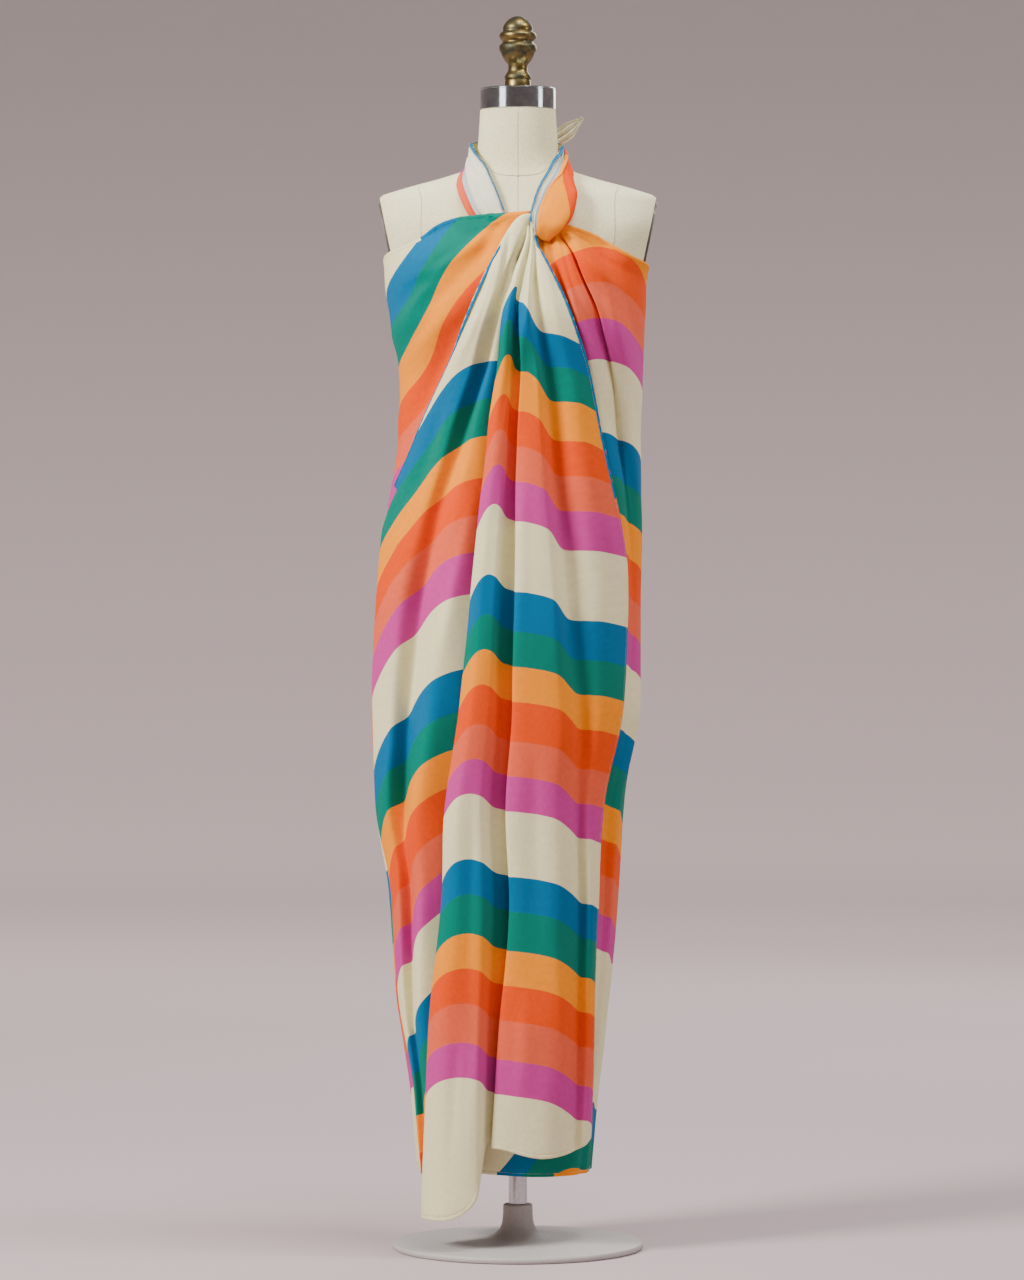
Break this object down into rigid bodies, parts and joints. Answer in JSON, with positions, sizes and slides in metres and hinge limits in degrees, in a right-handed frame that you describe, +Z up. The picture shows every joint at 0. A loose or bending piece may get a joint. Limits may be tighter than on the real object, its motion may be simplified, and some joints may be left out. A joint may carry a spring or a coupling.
{
  "type": "wrap dress on a limbless dress form",
  "caption": "Long halter wrap dress of striped cloth, crossed on the chest and knotted behind the neck, on a linen dress form with a neck cap, finial, post and round foot.",
  "frame": {"origin": "on the floor under the post, at the middle of the round foot", "axes": "+Z up, the front of the dress towards -Y, +X to the right as seen from the front"},
  "size_m": [0.3875, 0.34, 1.6727],
  "materials": {
    "linen": "plain unbleached linen, matt",
    "print": "light printed woven cloth, matt",
    "cap_metal": "bright plated",
    "brass": "aged, satin",
    "plate": "dark grey, satin",
    "post_steel": "brushed",
    "foot_paint": "pale warm grey powder coat"
  },
  "bodies": {
    "root": {"form_body": "linen", "armhole_plate_left": "plate", "armhole_plate_right": "plate", "neck_cap": "cap_metal", "finial": "brass", "post": "post_steel", "foot": "foot_paint", "front_centre": "print", "front_left": "print", "front_right": "print", "back": "print", "halter_right": "print", "halter_left": "print", "halter_knot": "print", "tie_end_up": "print", "tie_end_down": "print"}
  },
  "joints": []
}
